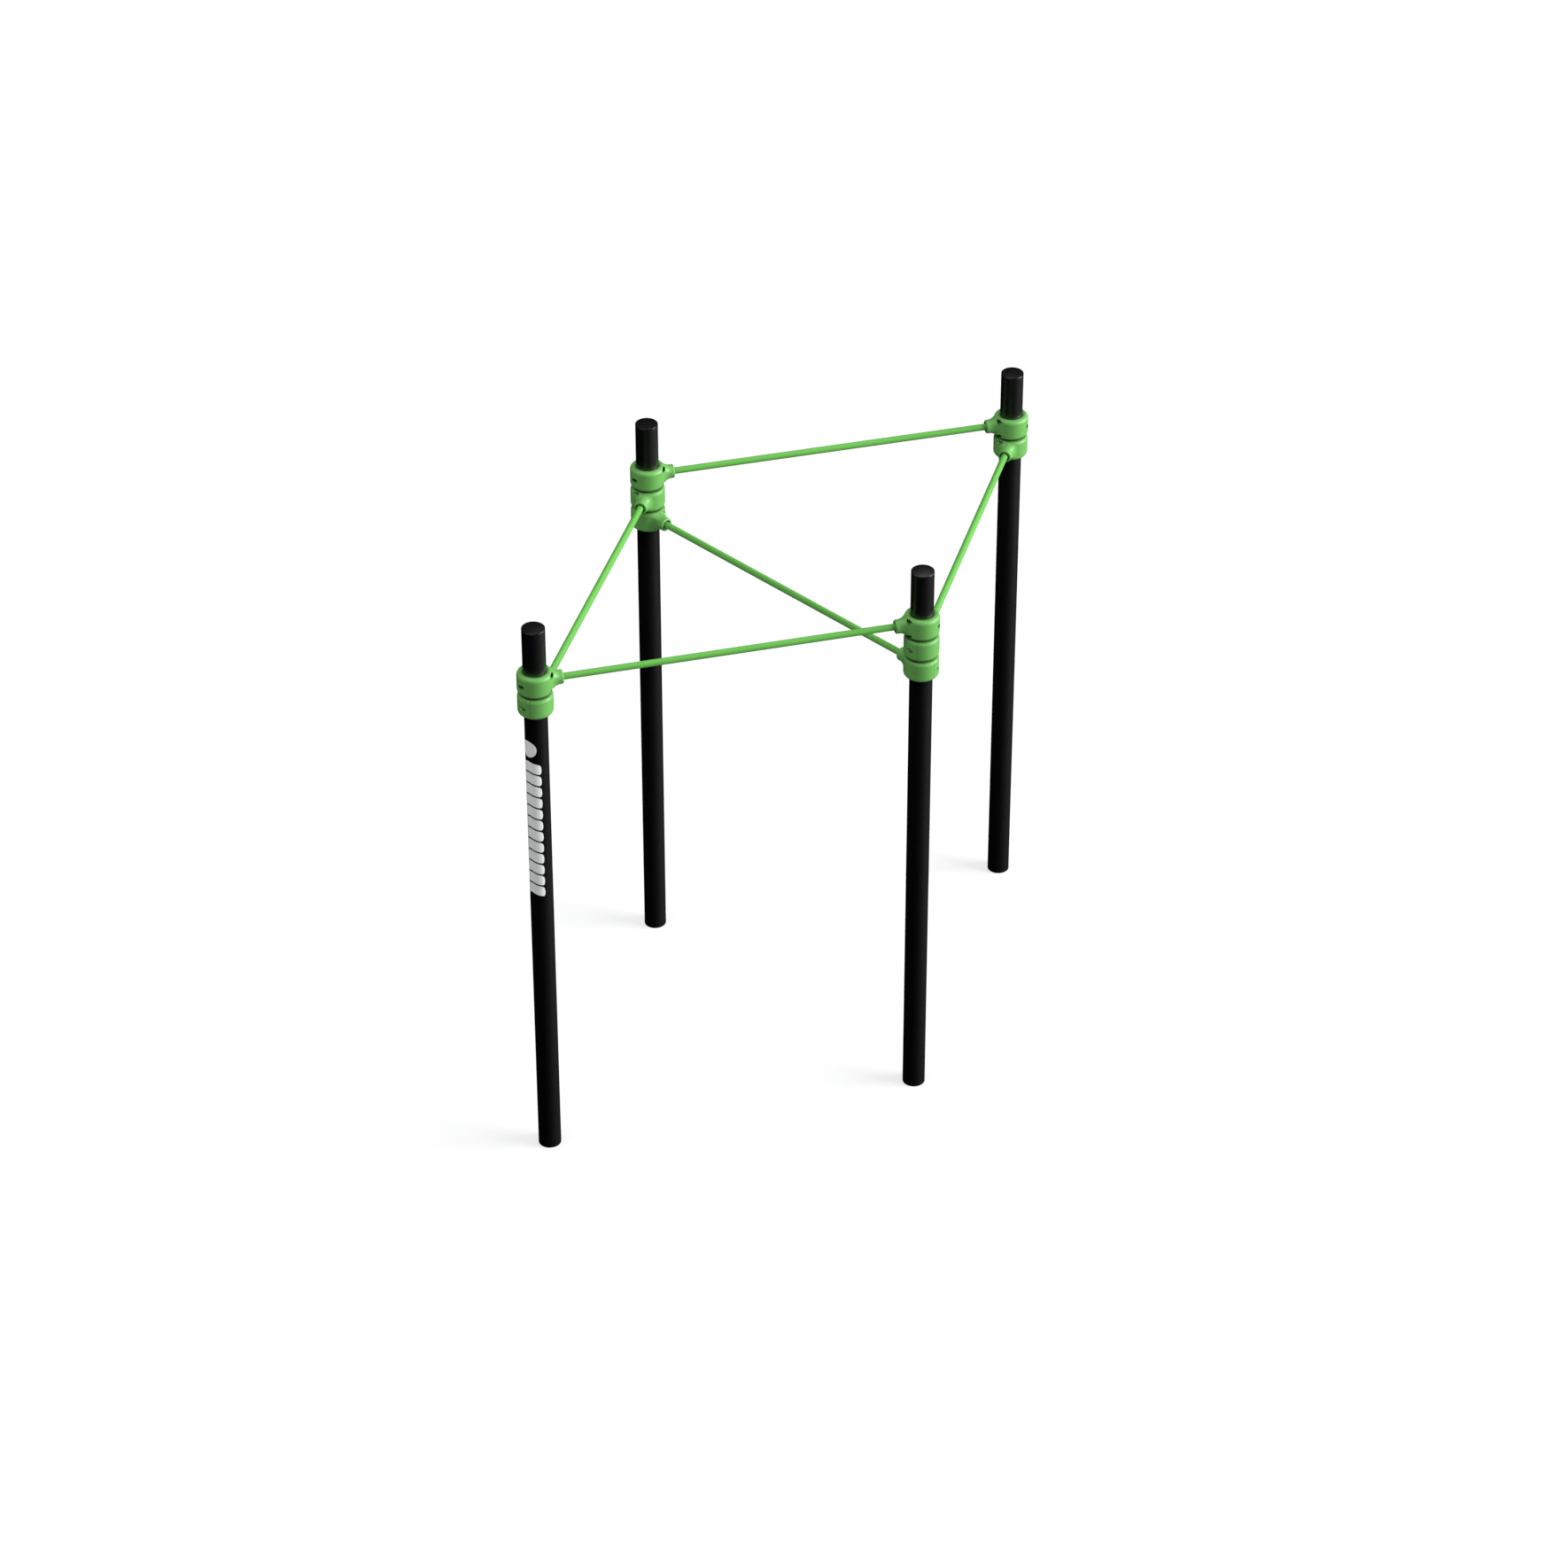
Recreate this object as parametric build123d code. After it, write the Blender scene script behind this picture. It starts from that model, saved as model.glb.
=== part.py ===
"""Outdoor monkey bars: four round steel posts, five climbing bars, ten bolted two-piece clamps.

Row frame, in millimetres: the origin is on the ground in the middle of the layout, +Z is up, +X runs
along the long diagonal from post A to post D, and +Y runs from post B to post C.  The posts stand on
the corners of two equilateral triangles, A-B-C and B-C-D, which share the side B-C.

Every clamp is drawn once in its own frame, with the post axis on Z, the bar socket along +X and the
middle of the clamp at Z = 0, and is then turned and lifted to its place.
"""
import math
import os

from build123d import *

# ---------------------------------------------------------------- driving dimensions
POST_OD = 114.3          # post tube, outside diameter
POST_WALL = 3.6          # post tube wall
POST_LENGTH = 3100.0     # post tube, without its end plugs
BAY_CLEAR = 1800.0       # clear distance between two neighbouring posts
BAR_OD = 33.7            # climbing bar tube, outside diameter
BAR_WALL = 3.2           # climbing bar tube wall
BAR_END_GAP = 4.0        # from a bar's end to the wall of the post that it points at

POST_STUB = 238.0        # post that stands free above its highest clamp
STACK_GAP = 8.0          # gap between two clamps of a stack
COLLAR_WALL = 30.0       # wall of the clamp's collar
COLLAR_HEIGHT = 112.0    # height of the collar
COLLAR_ROUND = 20.0      # rounding of the collar's outer edges, if the boss leaves room for it
BOSS_TO_ROUND = 1.0      # upright wall left between that rounding and the boss
BORE_CHAMFER = 2.5       # chamfer on the collar's inner edges
SOCKET_WALL = 18.0       # wall of the boss that holds a bar
BOSS_LENGTH = 49.5       # from the collar's wall to the end of the boss
FLARE_ROUND = 60.0       # radius of the hollow that runs from the boss into the collar
RIM_ROUND = 7.0          # rounding of the boss's outer end
MOUTH_STEP = 7.5         # wider mouth of the socket, on the radius
MOUTH_DEPTH = 10.0       # depth of that mouth
SHELL_GAP = 0.8          # gap between the two shells of a clamp
SEAM_HEIGHT = 1.2        # moulding line on the side of the tapped shell: its height
SEAM_DEPTH = 0.6         # and its depth
SEAM_FROM = 52.0         # and where it starts, in degrees from the boss
SEAM_TO = 126.0          # and where it ends

BOLT_D = 8.0             # clamp bolt, thread diameter
BOLT_LENGTH = 35.0       # and its length under the head
BOLT_HEAD_D = 13.0       # socket head diameter
BOLT_HEAD_H = 8.0        # socket head height
BOLT_KEY = 6.0           # hexagon key size across flats
BOLT_KEY_DEPTH = 4.0     # depth of the key socket
BOLT_SEAT = 14.0         # from the parting plane to the seat of a bolt's washer
TAPPED_DEPTH = 22.0      # from the parting plane to the end of a tapped hole
BOLT_TO_BORE = 16.0      # from the collar's bore to the axis of each bolt
BOLT_TO_EDGE = 16.0      # from the collar's top or bottom to a bolt beside the boss
POCKET_D = 22.0          # round pocket that hides a bolt head
WASHER_OD = 16.0         # washer
WASHER_T = 1.6           # and its thickness

CAP_RIM = 5.0            # disc of a post cap, above the tube, at its edge
CAP_EDGE = 2.0           # rounding of that disc
CAP_DOME = 3.0           # rise of its slightly domed top, in the middle
CAP_SKIRT = 30.0         # skirt of the cap, inside the tube
CAP_WALL = 3.0           # wall of that skirt
FOOT_RIM = 6.0           # disc of a foot plug, under the tube
FOOT_EDGE = 1.0          # rounding of that disc
FOOT_SKIRT = 45.0        # skirt of the foot plug, inside the tube
FOOT_WALL = 5.0          # wall of that skirt

DECAL_T = 0.3            # thickness of the stuck-on graphic
DECAL_DROP = 146.0       # from the lowest clamp on post A down to the graphic
DECAL_COLUMN = 798.0     # height of the graphic's column of blocks
DECAL_BLOCKS = 12        # plain blocks in the column
DECAL_JOINT = 9.0        # gap between two blocks
DECAL_SPREAD = 68.0      # half the angle that a block covers round the post
DECAL_ROUND = 10.0       # rounding of a block's corners
DISC_D = 92.0            # round dot above the column
DISC_GAP = 24.0          # from that dot down to the column

# ---------------------------------------------------------------- clearances
POST_FIT = 0.2           # between a post and a collar's bore, on the radius
BAR_FIT = 0.15           # between a bar and its socket, on the radius
BOLT_FIT = 0.5           # between a bolt and its drilled hole, on the radius
THREAD_FIT = 0.1         # between a bolt and its tapped hole, on the radius
WASHER_FIT = 0.2         # between a bolt and its washer, on the radius
PLUG_FIT = 0.2           # between a plug's skirt and the inside of a tube, on the radius
DECAL_FIT = 0.05         # between the graphic and the post, on the radius

# ---------------------------------------------------------------- worked-out sizes
POST_R = POST_OD / 2
BAR_R = BAR_OD / 2
SPACING = BAY_CLEAR + POST_OD                    # between the axes of neighbouring posts
HALF_LONG = SPACING * math.sin(math.radians(60))  # from the middle to post A or D
HALF_SHORT = SPACING / 2                         # from the middle to post B or C
POST_FOOT_Z = FOOT_RIM
POST_TOP_Z = POST_FOOT_Z + POST_LENGTH
COLLAR_BORE_R = POST_R + POST_FIT
COLLAR_R = COLLAR_BORE_R + COLLAR_WALL
SOCKET_R = BAR_R + BAR_FIT
BOSS_R = SOCKET_R + SOCKET_WALL
EDGE_ROUND = min(COLLAR_ROUND, COLLAR_HEIGHT / 2 - BOSS_R - BOSS_TO_ROUND)
SOCKET_REACH = COLLAR_R + BOSS_LENGTH            # from the post axis to the end of the boss
BOLT_R = BOLT_D / 2
BOLT_OFF_AXIS = COLLAR_BORE_R + BOLT_TO_BORE     # from the post axis to each bolt, along the bar
BOLT_RISE = COLLAR_HEIGHT / 2 - BOLT_TO_EDGE     # from the bar's height to a bolt beside the boss
TOP_CLAMP_Z = POST_TOP_Z - POST_STUB - COLLAR_HEIGHT / 2  # middle height of the highest clamps
CLAMP_PITCH = COLLAR_HEIGHT + STACK_GAP          # from one clamp of a stack to the next

POSTS = {
    "a": (-HALF_LONG, 0.0),
    "b": (0.0, -HALF_SHORT),
    "c": (0.0, HALF_SHORT),
    "d": (HALF_LONG, 0.0),
}
LEVEL_Z = [TOP_CLAMP_Z - level * CLAMP_PITCH for level in range(3)]
# each bar joins two posts at one level, counted from the top; the last entry tells on which side the
# bolt heads of both its clamps are, seen from its first post: 1 is left, -1 is right
BARS = [("a", "b", 0, -1), ("c", "d", 0, -1), ("a", "c", 1, 1), ("b", "d", 1, 1), ("b", "c", 2, -1)]


def heading(start, end):
    """Direction from one post to another, in degrees from +X."""
    (x0, y0), (x1, y1) = POSTS[start], POSTS[end]
    return math.degrees(math.atan2(y1 - y0, x1 - x0))


def upright(radius, low, high, x=0.0, y=0.0):
    """A cylinder along Z between two heights."""
    bottom = (Align.CENTER, Align.CENTER, Align.MIN)
    return Location((x, y, low)) * Cylinder(radius, high - low, align=bottom)


def along_bar(radius, start, end):
    """A cylinder along +X between two distances from the post axis."""
    bottom = (Align.CENTER, Align.CENTER, Align.MIN)
    return Location((start, 0, 0), (0, 90, 0)) * Cylinder(radius, end - start, align=bottom)


def across_bar(radius, start, end, x, z):
    """A cylinder along +Y at one bolt's place."""
    bottom = (Align.CENTER, Align.CENTER, Align.MIN)
    return Location((x, start, z), (-90, 0, 0)) * Cylinder(radius, end - start, align=bottom)


def ring_edges(part, radius, height):
    """The circular edges of a part that lie at one radius and one height."""
    found = []
    for edge in part.edges().filter_by(GeomType.CIRCLE):
        at = edge @ 0
        if abs(edge.radius - radius) < 0.01 and abs(at.Z - height) < 0.01:
            found.append(edge)
    return found


# ---------------------------------------------------------------- posts and their plugs
def post_tube():
    """The steel tube of a post, standing on its foot plug."""
    outer = upright(POST_R, POST_FOOT_Z, POST_TOP_Z)
    return outer - upright(POST_R - POST_WALL, POST_FOOT_Z, POST_TOP_Z)


def end_plug(rim, edge, skirt, wall, ribs, dome=0.0):
    """A plastic plug: a disc as wide as the tube and a ribbed skirt that pushes inside it."""
    skirt_r = POST_R - POST_WALL - PLUG_FIT
    rib_depth = wall / 3
    disc = upright(POST_R, 0, rim + dome)
    if dome:
        ball_r = (POST_R**2 + dome**2) / (2 * dome)
        disc = disc & (Location((0, 0, rim + dome - ball_r)) * Sphere(ball_r))
    disc = fillet(ring_edges(disc, POST_R, rim), edge)
    plug = disc + upright(skirt_r - rib_depth, -skirt, 0)
    for rib in range(ribs):
        middle = -skirt * (rib + 1) / (ribs + 1)
        plug += upright(skirt_r, middle - rib_depth, middle + rib_depth)
    return plug - upright(skirt_r - rib_depth - wall, -skirt, 0)


def post_cap():
    """The slightly domed cap on top of a post."""
    return Location((0, 0, POST_TOP_Z)) * end_plug(CAP_RIM, CAP_EDGE, CAP_SKIRT, CAP_WALL, 2, CAP_DOME)


def foot_plug():
    """The rubber plug that a post stands on: the same shape upside down."""
    plug = end_plug(FOOT_RIM, FOOT_EDGE, FOOT_SKIRT, FOOT_WALL, 3)
    return Location((0, 0, POST_FOOT_Z), (180, 0, 0)) * plug


# ---------------------------------------------------------------- climbing bars
def bar_tube(start, end, level):
    """A bar between two posts; its ends stop just short of the post walls."""
    length = SPACING - 2 * (POST_R + BAR_END_GAP)
    tube = along_bar(BAR_R, 0, length) - along_bar(BAR_R - BAR_WALL, 0, length)
    tube = Location((POST_R + BAR_END_GAP, 0, 0)) * tube
    x, y = POSTS[start]
    return Location((x, y, LEVEL_Z[level]), (0, 0, heading(start, end))) * tube


# ---------------------------------------------------------------- clamps
# Each bolt runs sideways through the drilled shell into the tapped one: along the bar, and height
CLAMP_BOLTS = [(BOLT_OFF_AXIS, BOLT_RISE), (BOLT_OFF_AXIS, -BOLT_RISE), (-BOLT_OFF_AXIS, 0.0)]


def on_boss_root(point):
    """Is a point on the round wall of the boss, where that wall comes out of the collar?"""
    on_boss = abs(math.hypot(point.Y, point.Z) - BOSS_R) < 0.01
    return on_boss and 0 < point.X < COLLAR_R + 0.01


def clamp_body():
    """The collar and its flared boss as one block, before it is bored and parted."""
    half = COLLAR_HEIGHT / 2
    collar = upright(COLLAR_R, -half, half)
    collar = fillet(ring_edges(collar, COLLAR_R, half) + ring_edges(collar, COLLAR_R, -half), EDGE_ROUND)
    body = collar + along_bar(BOSS_R, 0, SOCKET_REACH)
    root = [e for e in body.edges() if all(on_boss_root(e @ (step / 4)) for step in range(5))]
    body = fillet(root, FLARE_ROUND)
    rim = [
        edge
        for edge in body.edges().filter_by(GeomType.CIRCLE)
        if all(abs((edge @ (step / 2)).X - SOCKET_REACH) < 0.01 for step in range(3))
    ]
    return fillet(rim, RIM_ROUND)


def bored_clamp():
    """The clamp with its bores, its bolt holes and its moulding line."""
    half = COLLAR_HEIGHT / 2
    cone = Cone(COLLAR_BORE_R, COLLAR_BORE_R + BORE_CHAMFER, BORE_CHAMFER)
    lead_in = Location((0, 0, half - BORE_CHAMFER / 2)) * cone
    body = clamp_body() - upright(COLLAR_BORE_R, -half, half)
    body -= lead_in + mirror(lead_in, Plane.XY)
    body -= along_bar(SOCKET_R, 0, SOCKET_REACH)
    body -= along_bar(SOCKET_R + MOUTH_STEP, SOCKET_REACH - MOUTH_DEPTH, SOCKET_REACH)
    for x, z in CLAMP_BOLTS:
        body -= across_bar(POCKET_D / 2, BOLT_SEAT, COLLAR_R, x, z)
        body -= across_bar(BOLT_R + BOLT_FIT, 0, BOLT_SEAT, x, z)
        body -= across_bar(BOLT_R + THREAD_FIT, -TAPPED_DEPTH, 0, x, z)
    return body - seam_ring()


def seam_ring():
    """The shallow moulding line on the tapped side of the collar."""
    wide = COLLAR_R + 1
    ring = upright(wide, -SEAM_HEIGHT / 2, SEAM_HEIGHT / 2)
    ring -= upright(COLLAR_R - SEAM_DEPTH, -SEAM_HEIGHT / 2, SEAM_HEIGHT / 2)
    middle = math.radians((SEAM_FROM + SEAM_TO) / 2)
    half = math.radians((SEAM_TO - SEAM_FROM) / 2)
    far = 2 * wide  # the wedge's corners lie well outside the ring
    corners = [(0, 0)]
    for side in (-1, 0, 1):
        angle = middle + side * half
        corners.append((far * math.cos(angle), far * math.sin(angle)))
    wedge = extrude(make_face(Polyline(*corners, close=True)), SEAM_HEIGHT, both=True)
    return ring & mirror(wedge, Plane.XZ)


def clamp_shells():
    """The drilled and the tapped shell, parted along the upright plane through the post and the bar."""
    body = bored_clamp()
    reach = 2 * SOCKET_REACH
    outward = (Align.CENTER, Align.MIN, Align.CENTER)
    inward = (Align.CENTER, Align.MAX, Align.CENTER)
    drilled = body & (Location((0, SHELL_GAP / 2, 0)) * Box(reach, reach, reach, align=outward))
    tapped = body & (Location((0, -SHELL_GAP / 2, 0)) * Box(reach, reach, reach, align=inward))
    return drilled, tapped


def clamp_bolts():
    """The three socket-head bolts of a clamp; their heads are in the drilled shell."""
    bolts = []
    under_head = BOLT_SEAT + WASHER_T
    tail = under_head - BOLT_LENGTH
    for x, z in CLAMP_BOLTS:
        head = across_bar(BOLT_HEAD_D / 2, under_head, under_head + BOLT_HEAD_H, x, z)
        key = extrude(RegularPolygon(BOLT_KEY / math.sqrt(3), 6), BOLT_KEY_DEPTH)
        head -= Location((x, under_head + BOLT_HEAD_H - BOLT_KEY_DEPTH, z), (-90, 0, 0)) * key
        bolts.append(head + across_bar(BOLT_R, tail, under_head, x, z))
    return bolts


def clamp_washers():
    """A washer under every bolt head."""
    washers = []
    top = BOLT_SEAT + WASHER_T
    for x, z in CLAMP_BOLTS:
        disc = across_bar(WASHER_OD / 2, BOLT_SEAT, top, x, z)
        washers.append(disc - across_bar(BOLT_R + WASHER_FIT, BOLT_SEAT, top, x, z))
    return washers


# ---------------------------------------------------------------- graphic on post A
def decal_shell(low, high):
    """A thin sleeve round the post between two heights."""
    inner = POST_R + DECAL_FIT
    return upright(inner + DECAL_T, low, high) - upright(inner, low, high)


def decal_block(low, high):
    """One rounded block of the column, on the side that faces away from the other posts."""
    width = 2 * (POST_R + DECAL_FIT) * math.sin(math.radians(DECAL_SPREAD))
    reach = 2 * POST_OD
    stamp = extrude(RectangleRounded(high - low, width, DECAL_ROUND), reach)
    stamp = Location((0, 0, (low + high) / 2), (0, -90, 0)) * stamp
    return decal_shell(low, high) & stamp


def decal_pieces():
    """The column of plain blocks and the dot above it."""
    lowest_clamp = min(LEVEL_Z[level] for post, level, *rest in clamp_places() if post == "a")
    high = lowest_clamp - COLLAR_HEIGHT / 2 - DECAL_DROP
    low = high - DISC_D
    column_foot = low - DISC_GAP - DECAL_COLUMN
    step = (DECAL_COLUMN + DECAL_JOINT) / DECAL_BLOCKS
    pieces = []
    for block in range(DECAL_BLOCKS):
        foot = column_foot + block * step
        pieces.append(decal_block(foot, foot + step - DECAL_JOINT))
    dot = Location((0, 0, low + DISC_D / 2), (0, -90, 0)) * extrude(Circle(DISC_D / 2), 2 * POST_OD)
    pieces.append(decal_shell(low, high) & dot)
    return pieces


# ---------------------------------------------------------------- assembly
def solids_of(shape):
    """The solids of a shape, or of each shape in a list."""
    shapes = shape if isinstance(shape, list) else [shape]
    return [solid for one in shapes for solid in one.solids()]


def save(node, shapes):
    """Write one node's solids to its own file."""
    solids = solids_of(shapes)
    export_step(solids[0] if len(solids) == 1 else Compound(solids), f"parts/{node}.step")
    print(node, len(solids), "solid" if len(solids) == 1 else "solids")


def clamp_places():
    """Every clamp: its post, its number from the top, its heading and its roll about the bar.

    As drawn, the bolt heads are on the left of the bar; half a roll brings them to the right.
    """
    places = []
    for start, end, level, side in BARS:
        places.append((start, level, heading(start, end), 0.0 if side > 0 else 180.0))
        places.append((end, level, heading(end, start), 180.0 if side > 0 else 0.0))
    return sorted(places)


def main():
    """Make every node of the monkey bars."""
    os.makedirs("parts", exist_ok=True)
    tube, cap, foot = post_tube(), post_cap(), foot_plug()
    for post, (x, y) in POSTS.items():
        place = Location((x, y, 0))
        save(f"post_{post}", place * tube)
        save(f"post_cap_{post}", place * cap)
        save(f"foot_plug_{post}", place * foot)
    for start, end, level, side in BARS:
        save(f"bar_{start}_{end}", bar_tube(start, end, level))

    drilled, tapped = clamp_shells()
    bolts, washers = clamp_bolts(), clamp_washers()
    post_washers = {post: [] for post in POSTS}
    for post, level, angle, roll in clamp_places():
        x, y = POSTS[post]
        place = Location((x, y, LEVEL_Z[level]), (0, 0, angle)) * Location((0, 0, 0), (roll, 0, 0))
        name = f"{post}{level + 1}"
        save(f"clamp_{name}_shell_drilled", place * drilled)
        save(f"clamp_{name}_shell_tapped", place * tapped)
        save(f"clamp_{name}_bolts", [place * bolt for bolt in bolts])
        post_washers[post] += [place * washer for washer in washers]
    for post in POSTS:
        save(f"clamp_washers_{post}", post_washers[post])

    x, y = POSTS["a"]
    save("graphic_a", [Location((x, y, 0)) * piece for piece in decal_pieces()])


main()
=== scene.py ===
# %% [markdown]
# # Outdoor monkey bars, finished for the camera
#
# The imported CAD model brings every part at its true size: four round posts, five climbing bars, ten
# two-piece clamps with their bolts, the plugs in the tube ends and a stuck-on graphic.  This lesson
# gives them their finish.  Parts that are round all over are drawn again here as finer surfaces of
# revolution, the clamps keep their CAD shape, and every surface gets a material of its own.

# %% Load the frame
import math

import bpy
import numpy as np
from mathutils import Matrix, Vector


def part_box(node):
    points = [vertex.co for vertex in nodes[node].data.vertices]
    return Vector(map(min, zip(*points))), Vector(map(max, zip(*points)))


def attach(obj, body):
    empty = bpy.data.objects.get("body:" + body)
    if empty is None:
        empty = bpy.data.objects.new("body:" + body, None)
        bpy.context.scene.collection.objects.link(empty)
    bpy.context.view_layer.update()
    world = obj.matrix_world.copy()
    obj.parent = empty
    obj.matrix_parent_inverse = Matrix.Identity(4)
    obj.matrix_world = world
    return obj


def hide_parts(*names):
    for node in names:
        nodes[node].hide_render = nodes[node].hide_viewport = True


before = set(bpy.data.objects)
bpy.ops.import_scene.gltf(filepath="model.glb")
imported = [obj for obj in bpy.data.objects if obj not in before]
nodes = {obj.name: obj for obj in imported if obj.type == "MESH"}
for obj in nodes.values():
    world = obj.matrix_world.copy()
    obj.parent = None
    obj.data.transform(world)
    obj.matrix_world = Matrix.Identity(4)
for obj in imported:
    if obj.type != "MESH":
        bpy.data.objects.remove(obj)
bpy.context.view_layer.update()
MM = 0.001

# %% [markdown]
# Everything is placed from the frame.  The posts are named by letter; a post's box gives its axis,
# its radius and its height.  A bar's box gives its ends only along the row's axes, so its direction
# is taken from the two posts that its name holds.

# %% Places and sizes from the frame
LETTERS = "abcd"
BARS = sorted(name for name in nodes if name.startswith("bar_"))
CLAMPS = sorted(name[: -len("_bolts")] for name in nodes if name.endswith("_bolts"))


def box(node):
    """The lowest and highest corner of a CAD node, as two arrays."""
    low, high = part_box(node)
    return np.array(low), np.array(high)


def middle(node):
    """The centre of a CAD node's box."""
    low, high = box(node)
    return (low + high) / 2


post_low, post_high = box("post_a")
POST_R = (post_high[0] - post_low[0]) / 2
bar_low, bar_high = box("bar_b_c")
BAR_R = (bar_high[2] - bar_low[2]) / 2
BAR_LENGTH = bar_high[1] - bar_low[1]
POST_WALL = 3.6 * MM
BAR_WALL = 3.2 * MM
print("post radius", round(POST_R, 5), "bar radius", round(BAR_R, 5), "bars", BARS)

# %% [markdown]
# ## The camera
#
# The frame is seen from above one corner, from so far away that its upright posts stay nearly
# parallel.  A long lens does that: the camera stands 27 metres off and looks down at 35 degrees.
# A near camera with a short lens would make the front posts look much larger than the rear ones.

# %% Camera
CAMERA_OUT = 21.703
CAMERA_HEIGHT = 16.727
CAMERA_AZIMUTH = math.radians(225.03)
CAMERA_DOWN = math.radians(35.264)
CAMERA_HEADING = math.radians(-45)
CAMERA_LENS = 119.9
SENSOR_WIDTH = 36

camera_data = bpy.data.cameras.new("camera")
camera_data.lens = CAMERA_LENS
camera_data.sensor_width = SENSOR_WIDTH
camera_data.clip_end = 200
camera = bpy.data.objects.new("camera", camera_data)
bpy.context.scene.collection.objects.link(camera)
camera.location = (
    CAMERA_OUT * math.cos(CAMERA_AZIMUTH),
    CAMERA_OUT * math.sin(CAMERA_AZIMUTH),
    CAMERA_HEIGHT,
)
camera.rotation_euler = (math.pi / 2 - CAMERA_DOWN, 0, CAMERA_HEADING)
bpy.context.scene.camera = camera
bpy.context.scene.view_settings.view_transform = "Standard"
print("camera at", [round(v, 3) for v in camera.location])

# %% [markdown]
# ## The sky
#
# Out of doors the whole sky lights the bars from all round.  A plain white world does the same, but
# it also mirrors in black powder coat and turns it grey.  So the world is made of three parts, picked
# by the kind of ray: white where the camera looks at it, a soft fill for matt surfaces, and almost
# nothing for gloss, which leaves the gloss to the soft boxes.

# %% Sky: white to the camera, dim to everything else
SKY_FILL = 0.43
SKY_MIRROR = 0.004

world = bpy.data.worlds.new("studio")
bpy.context.scene.world = world
world.use_nodes = True
sky = world.node_tree
sky.nodes.clear()
seen = sky.nodes.new("ShaderNodeBackground")
seen.inputs["Color"].default_value = (1, 1, 1, 1)
fill = sky.nodes.new("ShaderNodeBackground")
fill.inputs["Color"].default_value = (0.97, 0.99, 1, 1)
fill.inputs["Strength"].default_value = SKY_FILL
mirror = sky.nodes.new("ShaderNodeBackground")
mirror.inputs["Strength"].default_value = SKY_MIRROR
paths = sky.nodes.new("ShaderNodeLightPath")
by_mirror = sky.nodes.new("ShaderNodeMixShader")
by_camera = sky.nodes.new("ShaderNodeMixShader")
out = sky.nodes.new("ShaderNodeOutputWorld")
sky.links.new(paths.outputs["Is Glossy Ray"], by_mirror.inputs["Fac"])
sky.links.new(fill.outputs[0], by_mirror.inputs[1])
sky.links.new(mirror.outputs[0], by_mirror.inputs[2])
sky.links.new(paths.outputs["Is Camera Ray"], by_camera.inputs["Fac"])
sky.links.new(by_mirror.outputs[0], by_camera.inputs[1])
sky.links.new(seen.outputs[0], by_camera.inputs[2])
sky.links.new(by_camera.outputs[0], out.inputs["Surface"])
print("sky fill", SKY_FILL, "and mirrored", SKY_MIRROR)

# %% [markdown]
# ## The soft boxes
#
# A soft box is a lamp behind a large sheet of cloth, and its size makes the shadows soft.  The main
# one stands far off to the right, so that near and far posts get the same light, and its glow runs
# down the right side of each post.  A wide one hangs overhead, and a small one behind lifts the caps.


# %% Soft boxes
LIGHT_AIM_HEIGHT = 1.6


def soft_box(name, azimuth, elevation, distance, width, height, power):
    """A rectangular area light, turned to face the middle of the frame.

    It stands at aim + distance * (cos a cos e, sin a cos e, sin e), with azimuth a and elevation e.
    """
    data = bpy.data.lights.new(name, "AREA")
    data.shape = "RECTANGLE"
    data.size, data.size_y = width, height
    data.energy = power
    light = bpy.data.objects.new(name, data)
    bpy.context.scene.collection.objects.link(light)
    a, e = math.radians(azimuth), math.radians(elevation)
    aim = np.array([0.0, 0.0, LIGHT_AIM_HEIGHT])
    out = np.array([math.cos(a) * math.cos(e), math.sin(a) * math.cos(e), math.sin(e)])
    light.location = aim + distance * out
    light.rotation_euler = (math.pi / 2 - e, 0, a + math.pi / 2)
    print(name, [round(v, 2) for v in light.location])


soft_box("key_right", azimuth=310, elevation=20, distance=40, width=26.7, height=23.3, power=36200)
soft_box("high_left", azimuth=165, elevation=66, distance=11, width=8, height=8, power=680)
soft_box("high_back", azimuth=25, elevation=62, distance=12, width=4, height=4, power=200)


# %% [markdown]
# ## The floor
#
# The posts stand on a white floor that shows only their soft shadows.  A real white sweep would throw
# so much light back up that the black posts turn grey, so the floor is seen by the camera but is left
# out of bounced and mirrored light.  It glows a little by itself, and the share of the glow grows
# with the distance, which carries it into the white sky with no horizon.

# %% A mesh from arrays
def plain_mesh(name, points, faces):
    """A mesh object from an array of points and an array or list of faces."""
    mesh = bpy.data.meshes.new(name)
    mesh.from_pydata(points.tolist(), [], faces if isinstance(faces, list) else faces.tolist())
    mesh.update()
    thing = bpy.data.objects.new(name, mesh)
    bpy.context.scene.collection.objects.link(thing)
    return thing


# %% Floor
FLOOR_HALF = 60.0
FADE_FROM = 3.5
FADE_TO = 9.0
FLOOR_GLOW = (0.62, 1.0)
FLOOR_WHITE = (0.28, 0.0)

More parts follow.
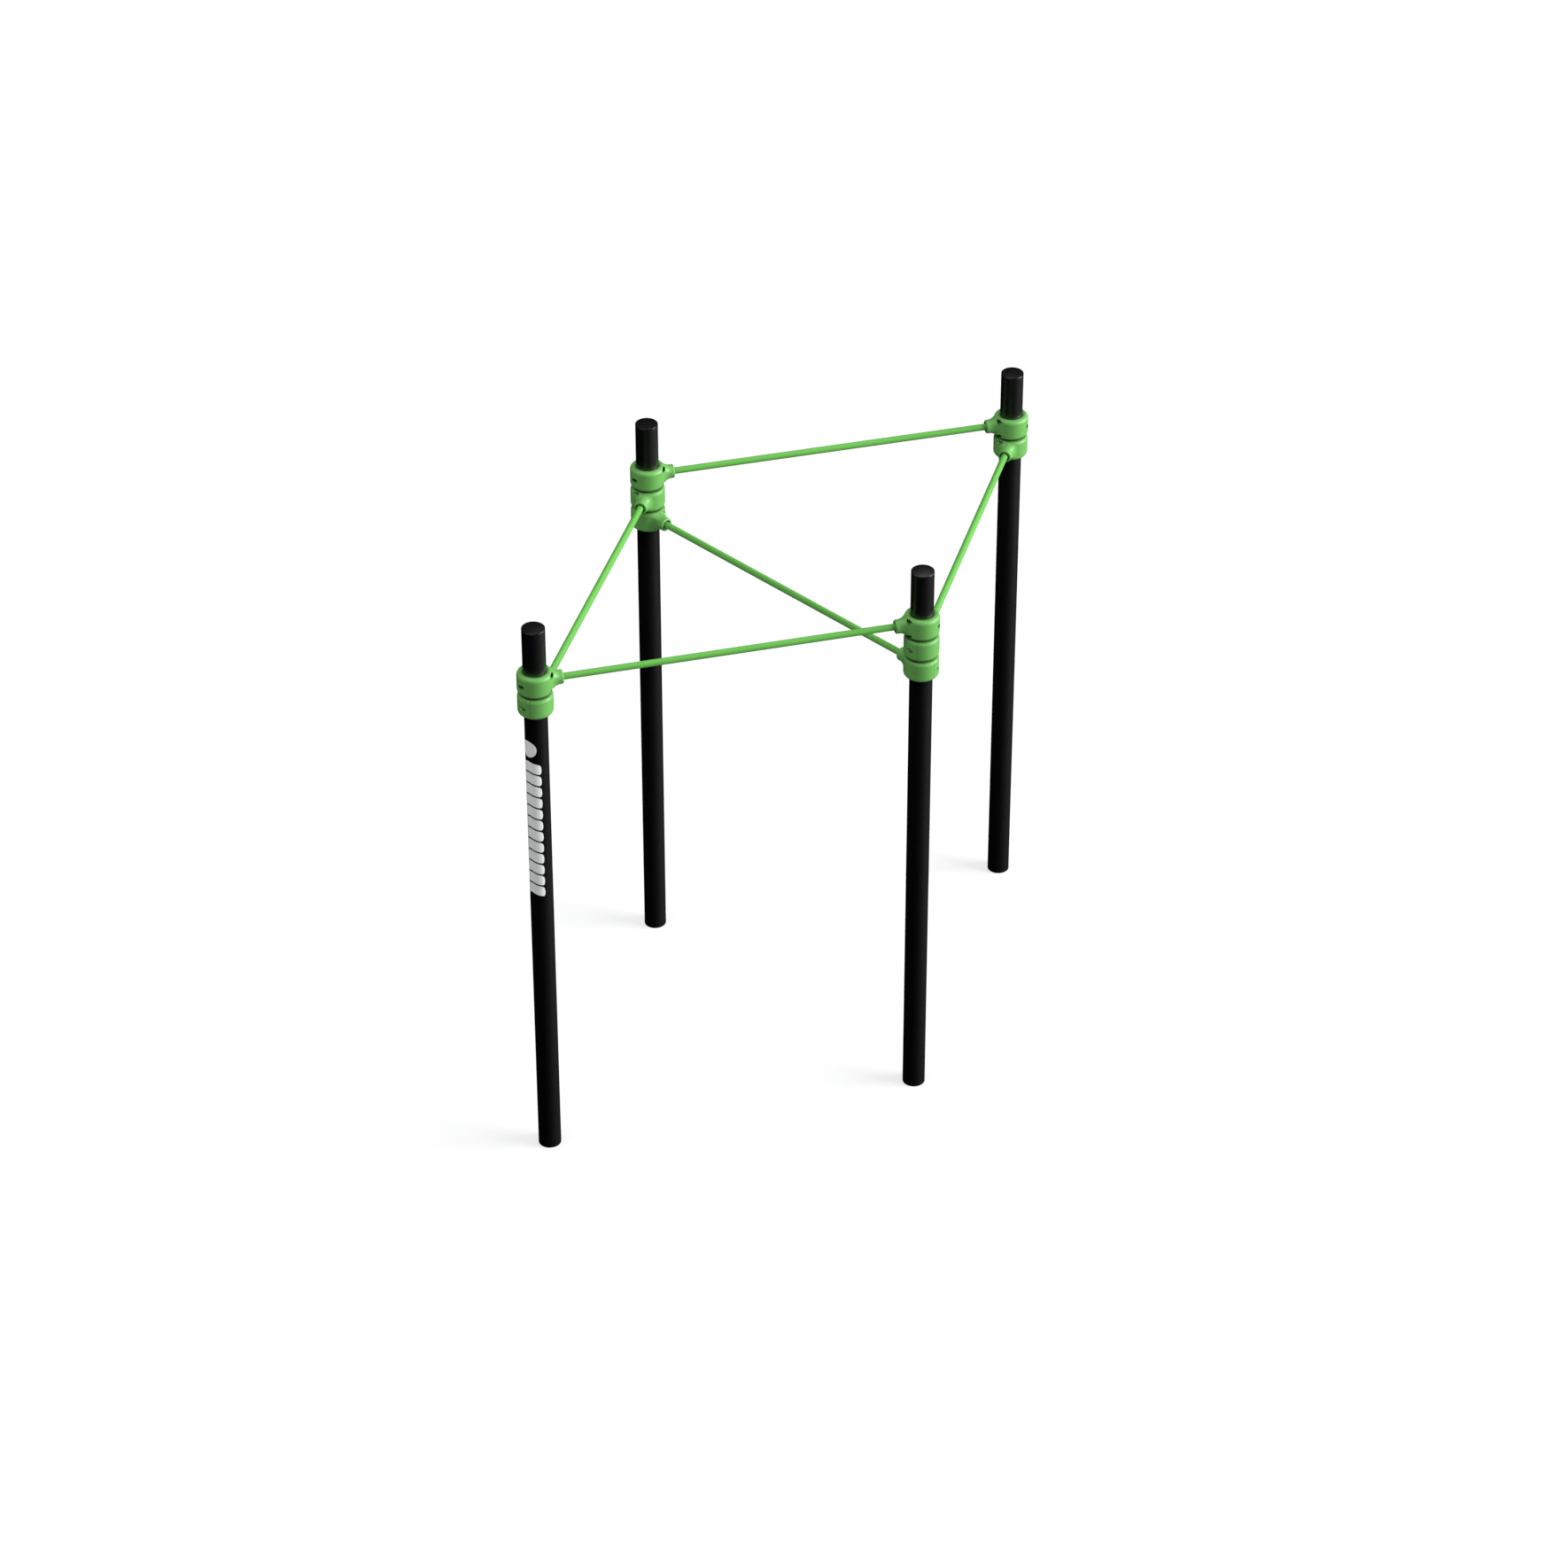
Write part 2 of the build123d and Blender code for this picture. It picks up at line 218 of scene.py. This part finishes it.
corner = np.array([[-1, -1, 0], [1, -1, 0], [1, 1, 0], [-1, 1, 0]]) * FLOOR_HALF
floor = plain_mesh("floor", corner, [[0, 1, 2, 3]])
floor.visible_diffuse = False
floor.visible_glossy = False
floor.visible_transmission = False
floor_finish = bpy.data.materials.new("floor_finish")
floor_finish.use_nodes = True
tree = floor_finish.node_tree
floor_shader = tree.nodes["Principled BSDF"]
floor_shader.inputs["Roughness"].default_value = 1.0
floor_shader.inputs["Specular IOR Level"].default_value = 0.0
floor_shader.inputs["Emission Color"].default_value = (1, 1, 1, 1)
place = tree.nodes.new("ShaderNodeTexCoord")
distance = tree.nodes.new("ShaderNodeVectorMath")
distance.operation = "LENGTH"
tree.links.new(place.outputs["Object"], distance.inputs[0])
for key, (near, far) in (("Emission Strength", FLOOR_GLOW), ("Base Color", FLOOR_WHITE)):
    fade = tree.nodes.new("ShaderNodeMapRange")
    numbers = (("From Min", FADE_FROM), ("From Max", FADE_TO), ("To Min", near), ("To Max", far))
    for name, number in numbers:
        fade.inputs[name].default_value = number
    tree.links.new(distance.outputs["Value"], fade.inputs["Value"])
    tree.links.new(fade.outputs["Result"], floor_shader.inputs[key])
floor.data.materials.append(floor_finish)
print("floor", 2 * FLOOR_HALF, "m wide, fading from", FADE_FROM, "to", FADE_TO, "m")

# %% [markdown]
# ## Finishes
#
# No real surface is one flat colour.  Every finish here is a small tree of nodes: noise of a chosen
# size drives the colour, the roughness and a bump.  All patterns read Object coordinates, in metres,
# so an orange peel of 2 mm is 2 mm on every part.  A small class keeps the trees short to write.


# %% A material under construction
class Finish:
    """A material under construction: short ways to add nodes to it."""

    def __init__(self, name, roughness, specular=0.5, metallic=0.0, ior=1.5):
        self.material = bpy.data.materials.new(name)
        self.material.use_nodes = True
        self.tree = self.material.node_tree
        self.shader = self.tree.nodes["Principled BSDF"]
        self.shader.inputs["Roughness"].default_value = roughness
        self.shader.inputs["Specular IOR Level"].default_value = specular
        self.shader.inputs["Metallic"].default_value = metallic
        self.shader.inputs["IOR"].default_value = ior
        self.place = self.node("ShaderNodeTexCoord").outputs["Object"]

    def node(self, kind, **settings):
        """Add a node and set its properties."""
        made = self.tree.nodes.new(kind)
        for key, value in settings.items():
            setattr(made, key, value)
        return made

    def join(self, source, target):
        """Link an output to an input."""
        self.tree.links.new(source, target)

    def noise(self, size, detail=2.0, roughness=0.5):
        """A noise pattern whose blotches are about size metres across."""
        made = self.node("ShaderNodeTexNoise")
        made.inputs["Scale"].default_value = 1 / size
        made.inputs["Detail"].default_value = detail
        made.inputs["Roughness"].default_value = roughness
        self.join(self.place, made.inputs["Vector"])
        return made.outputs["Fac"]

    def ramp(self, value, low, high, start=0.3, end=0.7):
        """Carry a value between start and end to a colour between low and high."""
        made = self.node("ShaderNodeValToRGB")
        first, last = made.color_ramp.elements
        first.position, last.position = start, end
        first.color, last.color = (*low, 1), (*high, 1)
        self.join(value, made.inputs["Fac"])
        return made.outputs["Color"]

    def span(self, value, low, high, start=0.3, end=0.7):
        """Carry a value between start and end to a number between low and high."""
        made = self.node("ShaderNodeMapRange")
        numbers = (("From Min", start), ("From Max", end), ("To Min", low), ("To Max", high))
        for key, number in numbers:
            made.inputs[key].default_value = number
        self.join(value, made.inputs["Value"])
        return made.outputs["Result"]

    def bump(self, heights, normal=None):
        """Bump the surface by (value, depth in metres) pairs, one on the other."""
        for value, depth in heights:
            made = self.node("ShaderNodeBump")
            made.inputs["Distance"].default_value = depth
            made.inputs["Strength"].default_value = 1.0
            self.join(value, made.inputs["Height"])
            if normal is not None:
                self.join(normal, made.inputs["Normal"])
            normal = made.outputs["Normal"]
        self.join(normal, self.shader.inputs["Normal"])


# %% [markdown]
# ## Powder coat
#
# Powder coat is a skin of plastic, sprayed on as dust and baked.  Its colour is even, and what the eye
# reads is the fine orange peel in its gloss.  So a coat is one colour with a slow, faint drift, a fine
# bump at two sizes, and a roughness that wanders a little.  On a casting the paint also rounds every
# edge, which a bevelled normal shows without new geometry.  Down in the pockets and gaps its colour is
# darkened where ambient occlusion finds them closed in: that is painted shade.

# %% Painted shade in recesses, and soft edges
# Painted shade in pockets and gaps: how far ambient occlusion looks, and how dark the colour may go.
PAINTED_SHADE_REACH = 35 * MM
PAINTED_SHADE_DEEPEST = 0.3


def paint_recess_shade(finish, color):
    """Paint shade into a colour where the surface closes in on itself.

    The open share of the sky above a point, from 0.25 to 0.9, is carried to a factor from
    PAINTED_SHADE_DEEPEST to 1, and the colour is multiplied by it.
    """
    # Painted shade: the colour is darkened where ambient occlusion finds the surface closed in.
    closed = finish.node("ShaderNodeAmbientOcclusion", samples=12)
    closed.inputs["Distance"].default_value = PAINTED_SHADE_REACH
    share = finish.span(closed.outputs["AO"], PAINTED_SHADE_DEEPEST, 1.0, 0.25, 0.9)
    shaded_color = finish.node("ShaderNodeVectorMath", operation="SCALE")
    finish.join(color, shaded_color.inputs[0])
    finish.join(share, shaded_color.inputs["Scale"])
    return shaded_color.outputs["Vector"]


def soft_edges(finish, radius):
    """The normal of a surface whose edges are eased by that radius, as paint rounds them."""
    made = finish.node("ShaderNodeBevel", samples=6)
    made.inputs["Radius"].default_value = radius
    return made.outputs["Normal"]


# %% Powder coat
def powder_coat(name, dark, light, roughness, peel, peel_depth, edge=0, wander=0.04, **gloss):
    """Baked powder coat: a faint drift between two colours, orange peel and eased edges.

    Only a casting has an edge radius, and with it comes painted shade in its pockets and gaps.
    """
    coat = Finish(name, roughness, **gloss)
    color = coat.ramp(coat.noise(0.35, detail=3), dark, light)
    if edge:
        # Painted shade in the casting's pockets and gaps.
        color = paint_recess_shade(coat, color)
    coat.join(color, coat.shader.inputs["Base Color"])
    sheen = coat.noise(0.02, detail=2)
    spread = coat.span(sheen, roughness - wander, roughness + wander)
    coat.join(spread, coat.shader.inputs["Roughness"])
    skin = [(coat.noise(peel, detail=1), peel_depth), (coat.noise(peel * 3), peel_depth)]
    coat.bump(skin, soft_edges(coat, edge) if edge else None)
    return coat.material


# %% Coats for the posts, the bars and the clamps
post_coat = powder_coat(
    "post_coat", (0.0002, 0.0002, 0.0002), (0.0005, 0.0005, 0.0005), roughness=0.35,
    peel=2.2 * MM, peel_depth=0.006 * MM, wander=0.012, specular=1.0, ior=1.65,
)
bar_coat = powder_coat(
    "bar_coat", (0.084, 0.298, 0.046), (0.092, 0.32, 0.051), roughness=0.6,
    peel=1.8 * MM, peel_depth=0.01 * MM, specular=0.22,
)
clamp_coat = powder_coat(
    "clamp_coat", (0.096, 0.304, 0.058), (0.104, 0.322, 0.064), roughness=0.52,
    peel=2.6 * MM, peel_depth=0.03 * MM, edge=1.2 * MM,
)
print("coats", post_coat.name, bar_coat.name, clamp_coat.name)

# %% [markdown]
# ## Plastic and rubber
#
# The caps are moulded from black plastic in a mould with a fine spark-eroded grain, which breaks up
# the shine.  The foot plugs are rubber: matt, a shade greyer, with dust caught in the grain.  Both are
# one noise at the grain's size, used twice, for the bump and for the gloss or the dust.


# %% Plastic and rubber
def cap_plastic():
    """Moulded black plastic with a fine spark-eroded grain."""
    finish = Finish("cap_plastic", roughness=0.3, specular=0.5)
    grain = finish.noise(1.1 * MM, detail=3, roughness=0.7)
    tone = finish.ramp(finish.noise(0.03), (0.0012, 0.0012, 0.0013), (0.0022, 0.0022, 0.0023))
    finish.join(tone, finish.shader.inputs["Base Color"])
    finish.join(finish.span(grain, 0.28, 0.36), finish.shader.inputs["Roughness"])
    finish.bump([(grain, 0.01 * MM)])
    return finish.material


def foot_rubber():
    """Black rubber, matt, with a little dust in its grain."""
    finish = Finish("foot_rubber", roughness=0.8, specular=0.3)
    grain = finish.noise(2.0 * MM, detail=4, roughness=0.65)
    dust = finish.ramp(grain, (0.002, 0.002, 0.002), (0.006, 0.006, 0.0055), 0.45, 0.8)
    finish.join(dust, finish.shader.inputs["Base Color"])
    finish.bump([(grain, 0.08 * MM)])
    return finish.material


plastic, rubber = cap_plastic(), foot_rubber()
print("mouldings", plastic.name, rubber.name)

# %% [markdown]
# ## Zinc
#
# Bolts and washers are turned or stamped from steel and plated with bright zinc.  The plating follows
# the fine tool marks and dries in faint blotches, so both the tone and the roughness follow a blotch of
# some 4 mm, under a bump of half a millimetre.


# %% Zinc
def zinc_plate():
    """Bright zinc on turned steel: grey metal, finely lined, faintly blotched."""
    finish = Finish("zinc_plate", roughness=0.32, metallic=1.0)
    blotch = finish.noise(4.0 * MM, detail=3)
    tone = finish.ramp(blotch, (0.42, 0.43, 0.44), (0.62, 0.63, 0.64))
    finish.join(tone, finish.shader.inputs["Base Color"])
    finish.join(finish.span(blotch, 0.26, 0.42), finish.shader.inputs["Roughness"])
    finish.bump([(finish.noise(0.5 * MM, detail=2), 0.01 * MM)])
    return finish.material


zinc = zinc_plate()
print("plating", zinc.name)

# %% [markdown]
# ## Vinyl
#
# The graphic is cut from cast white film and rubbed down on the post.  Such film is so thin that it
# takes on a trace of the orange peel beneath it, so it shares the size of the post's bump.


# %% Vinyl
def white_vinyl():
    """Cast white film, satin, taking on a trace of the tube's orange peel."""
    finish = Finish("white_vinyl", roughness=0.4, specular=0.4)
    tone = finish.ramp(finish.noise(0.05, detail=3), (0.74, 0.74, 0.74), (0.78, 0.78, 0.775))
    finish.join(tone, finish.shader.inputs["Base Color"])
    finish.bump([(finish.noise(2.2 * MM, detail=1), 0.008 * MM)])
    return finish.material


vinyl = white_vinyl()
print("film", vinyl.name)

# %% [markdown]
# ## Round parts
#
# A tube, a cap and a plug are each one closed outline turned about an axis, as on a lathe.  They could
# be cylinders with a bevel, but then every corner has the same radius.  Here the outline is given by
# its corners and a radius for each, and the corners become arcs.


# %% Outline with rounded corners
def rounded_outline(corners, radii, steps=6):
    """Points and outward directions of an outline whose corners are arcs.

    The arc at a corner is tangent to both sides: with h as half the angle between them, its centre
    lies on the bisector at radius / sin h, and it touches the sides at radius / tan h.  Corners run
    anticlockwise, so a left turn bulges out and a right turn is hollow.  A corner of radius 0 stays
    one point and faces halfway between its two sides; on the turning axis it faces along the axis.
    """
    corners = np.asarray(corners, float)
    points, outward = [], []
    for number, (corner, radius) in enumerate(zip(corners, radii)):
        back = corners[number - 1] - corner
        ahead = corners[(number + 1) % len(corners)] - corner
        back, ahead = back / np.linalg.norm(back), ahead / np.linalg.norm(ahead)
        if radius == 0:
            along = ahead - back
            facing = np.array([along[1], -along[0]]) / np.linalg.norm(along)
            if corner[1] == 0:
                facing = np.array([1.0 if number == 0 else -1.0, 0.0])
            points.append(corner[None])
            outward.append(facing[None])
            continue
        bisector = (back + ahead) / np.linalg.norm(back + ahead)
        half = math.acos(np.clip(back @ ahead, -1, 1)) / 2
        centre = corner + bisector * radius / math.sin(half)
        start = (corner + back * radius / math.tan(half) - centre) / radius
        end = (corner + ahead * radius / math.tan(half) - centre) / radius
        share = np.linspace(0, 1, steps)[:, None]
        spoke = start * (1 - share) + end * share
        spoke /= np.linalg.norm(spoke, axis=1, keepdims=True)
        left_turn = ahead[0] * back[1] - ahead[1] * back[0] > 0
        points.append(centre + spoke * radius)
        outward.append(spoke if left_turn else -spoke)
    return np.concatenate(points), np.concatenate(outward)


# %% [markdown]
# ## Turning the outline
#
# Every point of the outline is carried round the axis at once, as one array of rings by angles.  The
# formula that places a point also gives the surface's direction there.  Those directions go into the
# mesh as its normals, so the shading is exact however few points an arc has.


# %% Surface of revolution
def turned(name, outline, origin, axis, around=96):
    """A closed surface: point (t, r) of the outline goes to origin + t axis + r (u cos a + v sin a).

    u and v are square to the axis, and a runs once round.  Points on the axis become one pole each;
    otherwise the outline closes on itself, as on a tube.
    """
    points, outward = outline
    origin, axis = np.asarray(origin, float), np.asarray(axis, float)
    side = np.array([1.0, 0, 0]) if abs(axis[0]) < 0.9 else np.array([0, 1.0, 0])
    u = np.cross(axis, side)
    u /= np.linalg.norm(u)
    v = np.cross(axis, u)
    angle = np.arange(around) * 2 * np.pi / around
    ring = np.cos(angle)[:, None] * u + np.sin(angle)[:, None] * v
    poles = points[:, 1] == 0
    rows = points[~poles]
    shell = origin + rows[:, :1, None] * axis + rows[:, 1:, None] * ring
    bend = outward[~poles]
    normals = bend[:, :1, None] * axis + bend[:, 1:, None] * ring
    index = np.arange(len(rows) * around).reshape(len(rows), around)
    lower = index if not poles.any() else index[:-1]
    upper = np.roll(index, -1, 0) if not poles.any() else index[1:]
    quads = np.stack([lower, upper, np.roll(upper, -1, 1), np.roll(lower, -1, 1)], -1).reshape(-1, 4)
    vertices, directions = shell.reshape(-1, 3), normals.reshape(-1, 3)
    faces = quads.tolist()
    if poles.any():
        ends = origin + points[poles][:, :1] * axis
        first, last = len(vertices), len(vertices) + 1
        vertices = np.concatenate([vertices, ends])
        directions = np.concatenate([directions, outward[poles][:, :1] * axis])
        start, stop = index[0], index[-1]
        faces += np.stack([np.full(around, first), start, np.roll(start, -1)], -1).tolist()
        faces += np.stack([np.full(around, last), np.roll(stop, -1), stop], -1).tolist()
    thing = plain_mesh(name, vertices, faces)
    mesh = thing.data
    mesh.polygons.foreach_set("use_smooth", np.ones(len(mesh.polygons), bool))
    mesh.normals_split_custom_set_from_vertices(directions.tolist())
    mesh.update()
    return thing


# %% Dressing a piece, and the section of a tube
def dress(piece, material, slot, *cad_nodes):
    """Give a new piece its material and its body, and hide the CAD nodes that it stands for."""
    piece.data.materials.append(material)
    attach(piece, "root")
    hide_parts(*cad_nodes)
    return piece


def tube_outline(length, radius, wall, edge):
    """The section of a tube's wall, anticlockwise, with its four edges eased."""
    corners = [(0, radius - wall), (length, radius - wall), (length, radius), (0, radius)]
    return rounded_outline(corners, [edge] * 4, steps=4)


# %% [markdown]
# ## Caps and feet
#
# A post carries a plastic cap whose rim is as wide as the tube and whose top is a very flat dome, and
# stands on a rubber plug of the same kind.  Both are pressed into the tube and held by ribs on a
# skirt.  Only the rims show, but the skirts and their ribs are drawn too, because the parts may be
# seen apart.  One function gives both outlines, and the foot is the cap turned upside down.

# %% The section of a plug
UP = (0, 0, 1)
DOWN = (0, 0, -1)
CAP_DOME = 3.0 * MM
PLUG_FIT = 0.2 * MM


def plug_outline(rim, dome, edge, skirt, wall, ribs):
    """A plug's section from the top of its disc round the rim, down the ribbed skirt and back inside.

    Heights count from the face that meets the tube, and are positive on the disc's side.  The dome is
    part of a ball of radius (R^2 + dome^2) / (2 dome).
    """
    inner = POST_R - POST_WALL - PLUG_FIT
    groove = wall / 3
    corners, radii = [(rim + dome, 0)], [0]
    if dome:
        ball = (POST_R**2 + dome**2) / (2 * dome)
        reach = np.linspace(0.06, 0.93, 15) * POST_R
        height = rim + dome - ball + np.sqrt(ball**2 - reach**2)
        corners += list(zip(height, reach))
        radii += [0] * len(reach)
    corners += [(rim, POST_R), (0, POST_R), (0, inner - groove)]
    radii += [edge, 0.3 * MM, 0.2 * MM]
    for number in range(ribs):
        at = -skirt * (number + 1) / (ribs + 1)
        corners += [(at + groove, inner - groove), (at + groove, inner)]
        corners += [(at - groove, inner), (at - groove, inner - groove)]
        radii += [0.15 * MM] * 4
    corners += [(-skirt, inner - groove), (-skirt, inner - groove - wall), (0, inner - groove - wall)]
    radii += [0.4 * MM, 0.4 * MM, 0.5 * MM]
    corners.append((0, 0))
    radii.append(0)
    return rounded_outline(corners, radii, steps=6)


# %% Caps and feet
POST_AROUND = 160

for letter in LETTERS:
    low, high = box(f"post_{letter}")
    foot_at = np.array([*(low + high)[:2] / 2, low[2]])
    head_at = np.array([*foot_at[:2], high[2]])
    cap_low, cap_high = box(f"post_cap_{letter}")
    rim, skirt = cap_high[2] - high[2] - CAP_DOME, high[2] - cap_low[2]
    outline = plug_outline(rim, CAP_DOME, edge=2.0 * MM, skirt=skirt, wall=3.0 * MM, ribs=2)
    cap = turned(f"cap_{letter}", outline, head_at, UP, POST_AROUND)
    dress(cap, plastic, "cap_plastic", f"post_cap_{letter}")
    plug_low, plug_high = box(f"foot_plug_{letter}")
    rim, skirt = low[2] - plug_low[2], plug_high[2] - low[2]
    outline = plug_outline(rim, 0, edge=1.0 * MM, skirt=skirt, wall=5.0 * MM, ribs=3)
    foot = turned(f"foot_{letter}", outline, foot_at, DOWN, POST_AROUND)
    dress(foot, rubber, "foot_rubber", f"foot_plug_{letter}")
print("caps and feet for posts", LETTERS)

# %% [markdown]
# ## Posts
#
# A post is a plain steel tube, sawn to length and eased at its sawn edges.  The section of its wall is
# turned about the post's axis, so the tube has an inside too and its ends are closed rings.

# %% Posts
TUBE_EDGE = 0.4 * MM

for letter in LETTERS:
    low, high = box(f"post_{letter}")
    foot_at = np.array([*(low + high)[:2] / 2, low[2]])
    outline = tube_outline(high[2] - low[2], POST_R, POST_WALL, TUBE_EDGE)
    tube = turned(f"tube_{letter}", outline, foot_at, UP, POST_AROUND)
    dress(tube, post_coat, "post_black", f"post_{letter}")
    print("post", letter, "at", np.round(foot_at[:2], 4).tolist())

# %% [markdown]
# ## Climbing bars
#
# A bar is a thinner tube of the same make, with both ends hidden in the clamps.  It lies level between
# two posts, so the line between their axes gives its direction, and its CAD box gives its middle.

# %% Climbing bars
BAR_AROUND = 96

for name in BARS:
    start, end = name.split("_")[1:]
    across = middle(f"post_{end}") - middle(f"post_{start}")
    across[2] = 0
    across /= np.linalg.norm(across)
    start_at = middle(name) - across * BAR_LENGTH / 2
    outline = tube_outline(BAR_LENGTH, BAR_R, BAR_WALL, TUBE_EDGE)
    tube = turned(f"tube_{name}", outline, start_at, across, BAR_AROUND)
    dress(tube, bar_coat, "bar_green", name)
print("bars", round(BAR_LENGTH, 4), "m long")

# %% [markdown]
# ## Clamps and fasteners
#
# A clamp is two castings pulled together round a post and a bar by three bolts.  Its shells could be
# drawn again here, but their long hollow flare, the parting gap and the bolt pockets are exact in the
# CAD.  So the CAD parts stay, and get the casting's coat, whose eased edges catch the light.


# %% Finish the CAD parts that stay
def coat_node(name, material):
    """Put one material in every slot of a CAD node."""
    for slot in nodes[name].material_slots:
        slot.material = material


for name in nodes:
    if "_shell_" in name:
        coat_node(name, clamp_coat)
    if name.startswith("clamp_") and "_shell_" not in name:
        coat_node(name, zinc)
print(len(CLAMPS), "clamps")

# %% [markdown]
# ## The graphic
#
# Post A carries a plain climbing motif cut from white film: a dot above a column of arrow stripes that
# point up.  Each shape is a sheet bent round the post.  It could be a flat shape wrapped by a modifier,
# but a formula in angle and height puts it on the post at once.

# %% The film's place on the post
graphic_low, graphic_high = box("graphic_a")
post_axis = middle("post_a")[:2]
FILM_T = 0.3 * MM
FILM_GAP = 0.05 * MM
FILM_R = POST_R + FILM_GAP + FILM_T
SPREAD = math.asin((graphic_high[1] - post_axis[1]) / FILM_R) * 0.99
DOT_D = 92 * MM
DOT_GAP = 24 * MM
COLUMN_HIGH = graphic_high[2] - DOT_D - DOT_GAP


def bent_sheet(angle, height):
    """Points on the film's outer face, from the angle round the post (0 is -X) and the height."""
    x = post_axis[0] - FILM_R * np.cos(angle)
    y = post_axis[1] - FILM_R * np.sin(angle)
    return np.stack([x, y, height], -1).reshape(-1, 3)


print("film from", round(graphic_low[2], 3), "to", round(graphic_high[2], 3), "m high")

# %% [markdown]
# ### The stripes
#
# Twelve equal stripes fill the column.  A stripe's middle line rises to a point in the middle of the
# post's front.  Its ends are rounded by letting its width w fall along a superellipse: with u from -1
# to 1 across the post, w = T (1 - |u|^12)^(1 / 2.5).

# %% Arrow stripes
STRIPES = 12
STRIPE_GAP = 9 * MM
STRIPE_RISE = 18 * MM
STRIPE_STEP = (COLUMN_HIGH - graphic_low[2] + STRIPE_GAP - STRIPE_RISE) / STRIPES
STRIPE_T = STRIPE_STEP - STRIPE_GAP
END_SQUARE = 12
END_ROUND = 2.5

across = np.linspace(-1, 1, 65)
up = np.linspace(-0.5, 0.5, 5)[:, None]
centre = graphic_low[2] + np.arange(STRIPES)[:, None, None] * STRIPE_STEP + STRIPE_T / 2
width = STRIPE_T * np.maximum(1 - np.abs(across) ** END_SQUARE, 1e-6) ** (1 / END_ROUND)
height = centre + STRIPE_RISE * (1 - np.abs(across)) + up * width
angle = np.broadcast_to(across * SPREAD, height.shape)
index = np.arange(height.size).reshape(height.shape)
quads = [index[:, :-1, :-1], index[:, :-1, 1:], index[:, 1:, 1:], index[:, 1:, :-1]]
faces = np.stack(quads, -1).reshape(-1, 4).tolist()
points = [bent_sheet(angle, height)]
print(STRIPES, "stripes", round(STRIPE_T, 4), "m wide")

# %% [markdown]
# ### The dot
#
# The dot is a round disc above the stripes: rings of points about one middle point, laid on the post.
# A distance d along the film is an angle d / R round the post, so the dot stays round when unrolled.

# %% Dot
TURNS = 96
RINGS = 12
turn = -np.arange(TURNS) * 2 * np.pi / TURNS
reach = np.linspace(1 / RINGS, 1, RINGS)[:, None] * DOT_D / 2
dot_middle = graphic_high[2] - DOT_D / 2
points.append(bent_sheet(reach * np.cos(turn) / FILM_R, dot_middle + reach * np.sin(turn)))
points.append(bent_sheet(np.zeros(1), np.full(1, dot_middle)))
index = height.size + np.arange(RINGS * TURNS).reshape(RINGS, TURNS)
ahead = np.roll(index, -1, 1)
faces += np.stack([index[:-1], ahead[:-1], ahead[1:], index[1:]], -1).reshape(-1, 4).tolist()
hub = np.full(TURNS, height.size + RINGS * TURNS)
faces += np.stack([hub, ahead[0], index[0]], -1).tolist()
print("dot", DOT_D, "m across")

# %% [markdown]
# ### The film
#
# Both shapes are one mesh.  Solidify gives it the film's thickness, inwards from its outer face.  The
# edges that belong to one face only are its cut edges: marked sharp, they keep the face flat to the
# eye, where smooth shading would make it look padded.

# %% Film
film = plain_mesh("climb_graphic", np.concatenate(points), faces)
film.data.polygons.foreach_set("use_smooth", np.ones(len(film.data.polygons), bool))
loop_edges = np.empty(len(film.data.loops), int)
film.data.loops.foreach_get("edge_index", loop_edges)
cut_edges = np.bincount(loop_edges, minlength=len(film.data.edges)) == 1
film.data.edges.foreach_set("use_edge_sharp", cut_edges)
thickness = film.modifiers.new("thickness", "SOLIDIFY")
thickness.thickness = FILM_T
thickness.offset = -1
dress(film, vinyl, "graphic_white", "graphic_a")
print(len(film.data.vertices), "points in the film,", int(cut_edges.sum()), "cut edges")
